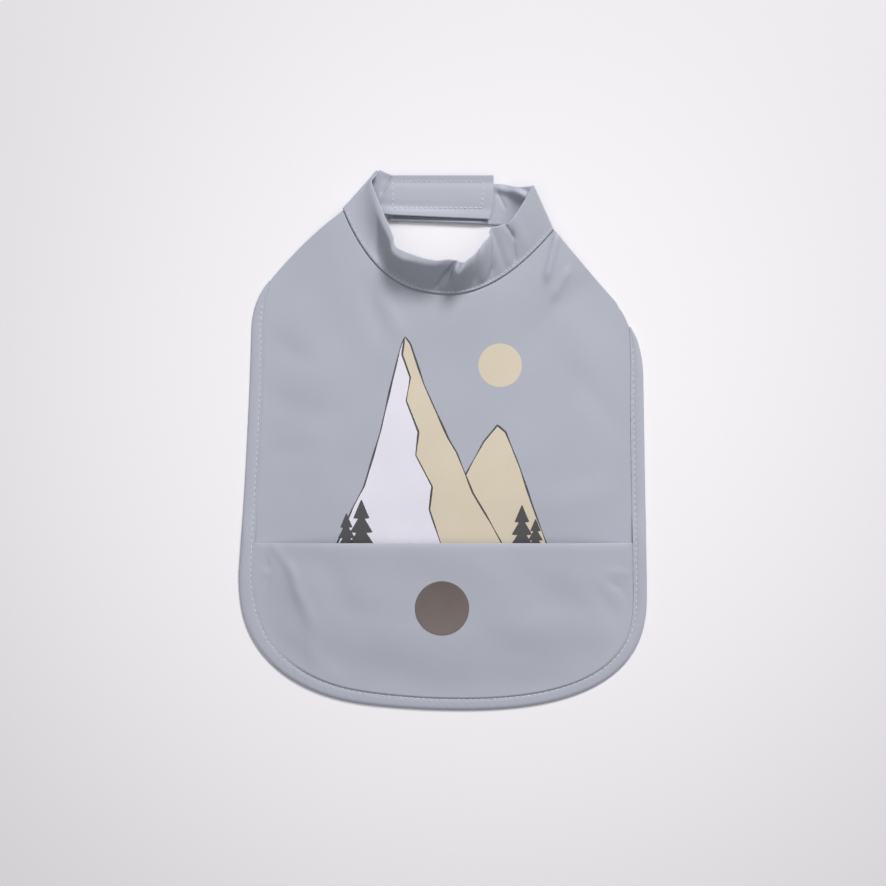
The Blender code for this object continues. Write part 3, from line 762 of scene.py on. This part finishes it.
def collarFront(share, h):
    # From the neck seam to the upper fold: a flat lip, a stand that rises to the bend, a level rim.
    # Folds push in or out.
    low = pathAt(seamPath, share * seamLength)
    low = withHeight(low, bodyHeight(low[:, 0], low[:, 1]) + collar["base"])
    top = through(topEdge[:, 0], topEdge[:, 1:], share)
    atEnd = np.abs(2 * share - 1)[:, None] ** collar["endPower"]
    low = low + unit(top - low) * np.array([1, 1, 0]) * collar["lowerCorner"] * atEnd
    wide = np.linalg.norm((top - low)[:, :2], axis=1)[:, None]
    place, rim, hollow = np.array(collar["stand"]).T
    foot, bend = collar["foot"] / wide, 1 - np.interp(share, place, rim)[:, None] / wide
    out = np.linspace(0, 1, collar["profilePoints"])
    ramp = np.maximum((out - foot) / (bend - foot), -1)
    # Rounded at the foot and at the bend: logarithms of summed exponentials in place of sharp corners.
    sharp = collar["sharpness"]
    rise = np.logaddexp(0, 4 * sharp * ramp) / (4 * sharp)
    rise = rise ** np.interp(share, place, hollow)[:, None]
    rise = -np.logaddexp(-sharp * rise, -sharp) / sharp
    rise = (rise - rise[:, :1]) / (rise[:, -1:] - rise[:, :1])
    steps = np.hypot(np.diff(out) * wide, np.diff(rise, axis=1) * (top - low)[:, 2:])
    run = np.concatenate([0 * wide, np.cumsum(steps, axis=1)], axis=1)
    run = run / run[:, -1:]
    level = np.broadcast_to(out, run.shape)
    across, up = (np.stack([np.interp(h, *pair) for pair in zip(run, values)]) for values in (level, rise))
    surface = low[:, None] + (top - low)[:, None] * np.stack([across, across, up], axis=-1)
    push = foldField(*np.meshgrid(share * seamLength, h * stripWidth, indexing="ij"), collar["folds"])
    push = push * (1 - atEnd) * smooth(h * collar["foldStart"])
    normals = sheetNormals(surface)
    return surface + normals * np.sign(normals[..., 2].mean()) * push[..., None]


def halfTurn(edgeLine, outward, radius, bulge):  # from an edge line round half an ellipse to a line below it
    angle = np.linspace(0, math.pi, collar["turnRows"])[:, None]
    flat = edgeLine[None, :, :2] + (np.sin(angle) * radius * bulge)[..., None] * outward
    return withHeight(flat, edgeLine[:, 2] - radius * (1 - np.cos(angle)))


def creaseOutward(edgeLine, side):  # square to the crease in plan, away from the neck
    way = unit(edgeLine[-1, :2] - edgeLine[0, :2])
    return np.array([way[1], -way[0]]) * side


def runBetween(start, end, count):  # straight in plan, level at both ends in height
    s = np.linspace(0, 1, count)[:, None, None]
    flat = start + (end - start) * s
    flat[..., 2] = start[:, 2] + (end[:, 2] - start[:, 2]) * smooth(s[..., 0])
    return flat


def strapLine(x, low, high, z):  # across a strap at x, from its lower edge to its upper one
    return np.stack([x + 0 * heights, low + (high - low) * heights, z + 0 * heights], axis=1)


front = collarFront(np.linspace(1, 0, collar["frontRows"]), heights)
loopZ = collar["strapLevel"]
leftBulge, rightBulge = collar["turnBulge"]
creaseRadius = np.full(len(heights), collar["crease"])
rightTurn = halfTurn(front[0], creaseOutward(front[0], 1), creaseRadius, rightBulge)
leftTurn = halfTurn(front[-1], creaseOutward(front[-1], -1), (front[-1, :, 2] - loopZ) / 2, leftBulge)
cutIn, cutUp = straps["loopCut"]
loopEndX = straps["loopEndX"] + cutIn * np.clip(1 - heights * stripWidth / cutUp, 0, 1)
loopEnd = strapLine(loopEndX, straps["loopLow"][0], straps["loopHigh"], loopZ)
loopRoot = strapLine(straps["loopX"], straps["loopLow"][1], straps["loopHigh"], straps["rootZ"])


def strapRelief(h, x):  # a curve through the root's heights that turns into the tip's along the strap
    share, root, tip = np.array(straps["relief"]).T
    along = smooth((x - straps["hingeX"]) / (straps["tipX"] - straps["hingeX"]))
    atRoot, atTip = (through(share, column[:, None], h)[:, 0] for column in (root, tip))
    return atRoot + (atTip - atRoot) * along


tipSlant = straps["tipX"] - straps["tipCut"][0] * np.clip(1 - heights / straps["tipCut"][1], 0, 1)
hookEnds = ((straps["hingeX"], straps["hingeX"]), (tipSlant, straps["tipX"]))
hinge, hookTip = (
    strapLine(place, low, straps["hookHigh"], straps["hookZ"] + strapRelief(heights, x))
    for (place, x), low in zip(hookEnds, straps["hookLow"])
)
loopRows, loopRootRows, hookRootRows, hookRows = straps["rows"]
parts = [
    runBetween(loopEnd, loopRoot, loopRows)[:-1],
    runBetween(loopRoot, rightTurn[-1], loopRootRows)[:-1],
    rightTurn[::-1][:-1],
    front,
    leftTurn[1:],
    runBetween(leftTurn[-1], hinge, hookRootRows)[1:],
    runBetween(hinge, hookTip, hookRows)[1:],
]
partStart = np.cumsum([0] + [len(part) for part in parts])
splitRow = partStart[4] + collar["splitAfter"]  # under the left crease, out of sight
strip = np.concatenate(parts)
pastSplit = strip[splitRow + 1 :]
pastSplit[..., 2] += foldField(pastSplit[..., 0], pastSplit[..., 1], straps["folds"])
loop, root = slice(0, partStart[1]), slice(partStart[1], partStart[2])
lipHeight, lipPlace, lipWidth = straps["lip"]
lip = lipHeight * bell((heights * stripWidth - lipPlace) / lipWidth)
fadeStart, fadeEnd = straps["lipEnd"]
strip[loop, :, 2] += lip * (1 - smooth((strip[loop, :, 0] - fadeStart) / (fadeEnd - fadeStart)))
dip, dipX, dipReach = straps["rootDip"]
strip[root, :, 1] -= dip * bell((strip[root, :, 0] - dipX) / dipReach) * heights
rootFolds = foldField(strip[: partStart[2], :, 0], strip[: partStart[2], :, 1], straps["rootFolds"])
rootFolds[partStart[1] :] *= smooth(np.linspace(5, 0, partStart[2] - partStart[1]))[:, None]
strip[: partStart[2], :, 2] += rootFolds
rise, riseX, riseReach = straps["rootRise"]
hookRoot = slice(partStart[5], partStart[6])
strip[hookRoot, :, 1] += rise * bell((strip[hookRoot, :, 0] - riseX) / riseReach) * heights**2

edgeDistance = np.minimum(heights, 1 - heights) * stripWidth
thickness = np.broadcast_to(roundedEdge(edgeDistance, fabric["band"]), strip.shape[:2])
stripRings, _ = sheetShell(strip, thickness)


def stripPart(rows):  # these rows of the strip as a closed shell
    return stripRings[rows], sheetShell(strip[rows], thickness[rows])[1]


rings, faces = stripPart(slice(0, splitRow + 1))
collarBand = addPiece("collarBand", rings, faces, clothFinish, 60)
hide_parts("collar_band")
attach(collarBand, "bib")

rings, faces = stripPart(slice(splitRow, None))
hookStrap = addPiece("hookStrap", rings, faces, clothFinish, 60)
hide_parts("hook_strap")


def bendWithStrap(piece):  # bakes the object's transform into its points
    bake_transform(piece)


bendWithStrap(hookStrap)


def sewnAlong(rows, up, pitch, dash, radius):  # stitches on the strip's face, this far up from its lower edge
    column = np.argmin(np.abs(heights * stripWidth - up))
    facing = unit(stripRings[rows, column] - strip[rows, column])
    facing = facing * np.sign(facing[:, 2:].mean())
    return stitchRow(strip[rows, column] + facing * thickness[0, column] / 2, facing, pitch, dash, radius)


def joined(made):  # several rows of stitches as one mesh
    first = np.cumsum([0] + [points.size // 3 for points, _ in made])
    points = np.concatenate([points.reshape(-1, 3) for points, _ in made])
    return points, np.concatenate([faces + start for (_, faces), start in zip(made, first)])


sewnX = strip[: partStart[2], collar["lowColumn"], 0]
sewnStart, sewnEnd = collar["loopSewn"]
loopSewn = np.flatnonzero((sewnX > sewnStart) & (sewnX < sewnEnd))
frontSewn = slice(partStart[3] + collar["endRows"], partStart[4] - collar["endRows"])
points, faces = joined([sewnAlong(rows, *collar["stitch"]) for rows in (frontSewn, loopSewn)])
collarStitches = addPiece("collarStitches", points, faces, threadFinish)
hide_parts("collar_thread")
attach(collarStitches, "bib")
print("collar made")


# closure

closure = dict(
    tapeX=(-36.2, 31.4), tapeY=(368.2, 391.6), hookTapeZ=3.3, loopTapeY=(362.4, 386.4), loopTapeZ=2.0,
    thickness=0.9, edge=(0.55, 0.9),  # share of the thickness at the long edges, and where it is full
    boxX=(-36.8, 29.4), boxY=(369.4, 388.8),
    tack=((-1.2, 0.6), (-0.9, 8.0)),  # from the box's lower right corner
    stitch=(3.6, 2.8, 0.32), sidePoints=60, grid=(60, 30),  # stitch: pitch, length, radius
)


def tapePlate(x, y, z, slant=0):  # a flat tape with softened long edges, lower at its right end by the slant
    columns, rows = closure["grid"]
    u, v = np.meshgrid(np.linspace(*x, columns), np.linspace(*y, rows), indexing="ij")
    away = np.minimum(v - y[0], y[1] - v)
    v = v - slant * (u - x[0]) / (x[1] - x[0])
    least, run = closure["edge"]
    thickness = closure["thickness"] * (least + (1 - least) * smooth(away / run))
    return sheetShell(withHeight(np.stack([u, v], axis=-1), z + 0 * u), thickness)


rings, faces = tapePlate(closure["tapeX"], closure["tapeY"], closure["hookTapeZ"])
hookTape = addPiece("hookTape", rings, faces, hookFinish, 50)
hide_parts("hook_tape")
bendWithStrap(hookTape)
loopSlant = straps["loopLow"][0] - straps["loopLow"][1]
# the loop tape reaches into the slot under the hook strap's lower edge, where its darkened pile is painted
# shade
rings, faces = tapePlate(closure["tapeX"], closure["loopTapeY"], closure["loopTapeZ"], loopSlant)
loopTape = addPiece("loopTape", rings, faces, loopFinish, 50)
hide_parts("loop_tape")
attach(loopTape, "bib")

(x0, x1), (y0, y1) = closure["boxX"], closure["boxY"]
corners = [(x0, y0), (x1, y0), (x1, y1), (x0, y1), (x0, y0)]
tack = [(x1 + dx, y0 + dy) for dx, dy in closure["tack"]]
upwards = np.tile([0.0, 0.0, 1.0], (closure["sidePoints"], 1))
made = []
for ends in [*zip(corners, corners[1:]), tack]:  # the box's four sides and a short tack at the right
    start, end = np.array(ends)
    side = start + (end - start) * np.linspace(0, 1, closure["sidePoints"])[:, None]
    low = np.interp(side[:, 0], (straps["hingeX"], straps["tipX"]), straps["hookLow"])
    level = strapRelief((side[:, 1] - low) / (straps["hookHigh"] - low), side[:, 0])
    side = withHeight(side, straps["hookZ"] + fabric["band"] / 2 + level)
    made.append(stitchRow(side, upwards, *closure["stitch"]))
points, faces = joined(made)
tapeStitches = addPiece("tapeStitches", points, faces, threadFinish)
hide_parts("hook_tape_thread")
bendWithStrap(tapeStitches)
print("closure made")


# badge

rimWidth, rimLoss = badge["rim"]
turns, ringCount = badge["turns"], 2 * badge["rings"]
radii = np.linspace(badge["centre"], badge["radius"], badge["rings"])[:, None]
angles = np.linspace(0, 2 * math.pi, turns + 1)[:-1]
discX = badge["x"] + radii * np.cos(angles)
discY = badge["y"] + radii * np.sin(angles)
discZ = pocketHeight(discX, discY) + fabric["single"] / 2 + badge["lift"] / 2
foil = badge["thickness"] * (1 - rimLoss * (radii > badge["radius"] - rimWidth))
upper = np.stack([discX, discY, discZ + foil], axis=-1)
lower = np.stack([discX, discY, discZ - badge["lift"] / 2 + badge["sink"]], axis=-1)
disc = np.concatenate([lower, upper[::-1]])
k = np.arange(0, turns - 2, 2)
caps = np.stack([0 * k, k + 1, k + 2, k + 3], axis=1)
lastCap = caps + (ringCount - 1) * turns
faces = np.concatenate([gridFaces(ringCount, turns, closed=True), caps[:, ::-1], lastCap])
pocketBadge = addPiece("pocketBadge", disc, faces, foilFinish, 50)
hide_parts("pocket_badge")
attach(pocketBadge, "bib")
print("badge made")


# print

printed = dict(
    base=111, film=0.05, filmShare=0.8, step=2.5,  # the films start behind the pocket's mouth
    nearPeak=[
        (-80, 118), (-66, 150), (-58, 165), (-46, 205), (-38, 240), (-31, 268), (-28, 275), (-24, 270),
        (-14, 240), (-6, 222), (4, 200), (10, 190), (22, 160), (34, 140), (46, 118),
    ],
    farPeak=[(4, 150), (20, 180), (30, 198), (40, 210), (46, 205), (56, 180), (66, 150), (78, 118)],
    ridge=[
        (-28, 275), (-30, 262), (-24, 245), (-27, 228), (-18, 205), (-20, 188), (-8, 165), (-10, 148),
        (0, 118), (2, 111),
    ],
    sun=(42, 254, 16), outlinePoints=140,
    line=1.1, swell=[(0.3, 9), (0.15, 3.7)], lineEnd=(0.25, 6),  # width of a drawn line, its swell and its ends
    firs=[(-71, 30), (-60, 40), (58, 36), (68, 26)],  # x of the trunk, height
    firFoot=4, firPoints=120,
    firHalfWidth=[  # share of the height, then half the width as a share of it
        (0, 0.04), (0.14, 0.04), (0.145, 0.26), (0.40, 0.09), (0.405, 0.21), (0.66, 0.06), (0.665, 0.15),
        (1, 0.01),
    ],
)


def printFilm(name, a, b, layer, ink):  # a thin film on the cloth, ruled between two lines of facing points
    steps = max(3, int(np.linalg.norm(b - a, axis=1).max() / printed["step"]))
    flat = a[:, None] + (b - a)[:, None] * np.linspace(0, 1, steps)[:, None]
    level = bodyHeight(flat[..., 0], flat[..., 1]) + fabric["single"] / 2 + printed["film"] * (layer + 0.5)
    thickness = np.full(level.shape, printed["film"] * printed["filmShare"])
    rings, faces = sheetShell(withHeight(flat, level), thickness)
    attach(addPiece(name, rings, faces, ink, 50), "bib")


def outlineOf(key):  # a drawn line in equal steps
    return evenly(np.array(printed[key], float), printed["outlinePoints"])


def overBase(path):  # the same x along the straight base line
    return np.column_stack([path[:, 0], np.full(len(path), printed["base"])])


def inkLine(name, path, layer):  # a drawn line that swells and thins along its way
    along = alongPath(path)
    width = printed["line"] * sum((part * np.sin(along / run) for part, run in printed["swell"]), 1)
    least, run = printed["lineEnd"]
    width = width * (least + (1 - least) * smooth(np.minimum(along, along[-1] - along) / run))
    printFilm(name, inset(path, width / 2), inset(path, -width / 2), layer, charcoalInk)


farPeak, nearPeak, ridge = (outlineOf(key) for key in ("farPeak", "nearPeak", "ridge"))
slope = nearPeak[nearPeak[:, 0] >= printed["ridge"][0][0]]
shaded = np.column_stack([np.interp(ridge[:, 1], slope[::-1, 1], slope[::-1, 0]), ridge[:, 1]])
sunX, sunY, sunRadius = printed["sun"]
turn = np.linspace(math.pi, 0, 60)
sunArc = np.stack([np.cos(turn), np.sin(turn)], axis=1) * sunRadius
printFilm("printSun", sunArc * (1, -1) + (sunX, sunY), sunArc + (sunX, sunY), 0, sandInk)
printFilm("printFarPeak", overBase(farPeak), farPeak, 0, sandInk)
inkLine("printFarLine", farPeak, 1)
printFilm("printNearPeak", overBase(nearPeak), nearPeak, 2, whiteInk)
printFilm("printShade", ridge, shaded, 3, sandInk)
inkLine("printNearLine", nearPeak, 4)
inkLine("printRidgeLine", ridge, 4)
for number, (trunk, tall) in enumerate(printed["firs"]):
    share, half = np.array(printed["firHalfWidth"]).T
    up = np.linspace(0, 1, printed["firPoints"])
    wide = np.interp(up, share, half) * tall
    y = printed["base"] + printed["firFoot"] + up * tall
    left, right = (np.column_stack([trunk + side * wide, y]) for side in (-1, 1))
    printFilm(f"printFir{number}", left, right, 5, charcoalInk)
print("print made")


# floor, light and camera

studio = dict(
    cameraHeight=1.3015, lens=71.83, cameraY=-0.0015,
    keyPlace=(0.83, 2.24, 2.14), keySize=1.05, keyPower=86,  # softbox behind the collar, to the right
    sky=0.95, skyTint=(0.98, 0.98, 1.0), backdrop=(0.86, 0.85, 0.87),
    floorHalf=6.0, floorZ=-0.0002, paintedLightCentre=(0, -0.05, 0),
    pale=(0.885, 0.865, 0.885), paintedFalloffShade=(0.70, 0.675, 0.70), reach=(0.08, 0.55),  # the painted shade of the light's falloff grows over this reach
    far=(0.55, 1.7),  # the floor turns into the backdrop over this distance
)


def floorPaper(place):
    # Seamless paper with a faint cloud and tooth. Its colour carries painted shade: brightest just below the
    # middle, darker towards the corners, as the light falls off.
    away = place.node("VectorMath", {"operation": "DISTANCE"}, {0: place, 1: studio["paintedLightCentre"]}, out="Value")
    # painted shade: the paper's colour darkens with the distance from just below the middle, standing in for
    # the light's falloff
    paintedFalloffShade = away.between(*studio["reach"])
    tooth = place.noise(700, 2)
    return {
        "Base Color": (paintedFalloffShade + (place.noise(3, 3) - 0.5) * 0.08).mix(studio["pale"], studio["paintedFalloffShade"]),
        "Roughness": 0.8 + tooth * 0.1,
        "Normal": tooth.bump(0.05, 0.0002),
    }


def looking(shade):  # 1 for the rays that show the backdrop: from the camera, off a gloss or through glass
    rays = ("Is Camera Ray", "Is Glossy Ray", "Is Transmission Ray")
    return sum(shade.node("LightPath", out=ray) for ray in rays)


half = studio["floorHalf"]
floorCorners = np.array([(-half, -half), (half, -half), (half, half), (-half, half)])
floorMesh = bpy.data.meshes.new("floor")
floorMesh.from_pydata(withHeight(floorCorners, np.full(4, studio["floorZ"])).tolist(), [], [(0, 1, 2, 3)])
floorFinish = newMaterial("floorPaper", floorPaper)
floorMesh.materials.append(floorFinish)
floor = addObject("floor", floorMesh)

# Far from the bib the floor is seen to turn into the backdrop.
tree = floorFinish.node_tree
place = Shade(tree).node("TexCoord", out="Object")
away = place.node("VectorMath", {"operation": "LENGTH"}, {0: place}, out="Value")
fade = away.between(*studio["far"])
distant = place.node("Emission", None, {"Color": (*studio["backdrop"], 1), "Strength": 1.0})
paper = Shade(tree, tree.nodes["Principled BSDF"].outputs[0])
faded = place.node("MixShader", None, {0: fade * looking(place), 1: paper, 2: distant})
tree.links.new(faded.socket, tree.nodes["Material Output"].inputs["Surface"])

# The sky's light grows with the square of its height; the rays that look at it see the plain backdrop.
world = bpy.data.worlds.new("studio")
world.use_nodes = True
way = Shade(world.node_tree).node("TexCoord", out="Generated")
upward = way.node("SeparateXYZ", None, {0: way}, out="Z")
glow = upward * upward * studio["sky"]
sky = way.node("Background", None, {"Color": (*studio["skyTint"], 1), "Strength": glow})
backdrop = way.node("Background", None, {"Color": (*studio["backdrop"], 1), "Strength": 1.0})
shown = way.node("MixShader", None, {0: looking(way), 1: sky, 2: backdrop})
world.node_tree.links.new(shown.socket, world.node_tree.nodes["World Output"].inputs["Surface"])
bpy.context.scene.world = world

lamp = bpy.data.lights.new("softKey", "AREA")
lamp.shape = "DISK"
lamp.size = studio["keySize"]
lamp.energy = studio["keyPower"]
keyLight = addObject("softKey", lamp)
keyLight.location = studio["keyPlace"]
keyLight.rotation_euler = (-keyLight.location).to_track_quat("-Z", "Y").to_euler()

lens = bpy.data.cameras.new("camera")
lens.lens = studio["lens"]
camera = addObject("camera", lens)
camera.location = (0, studio["cameraY"], studio["cameraHeight"])
bpy.context.scene.camera = camera
bpy.context.scene.view_settings.view_transform = "Standard"
print("studio made")
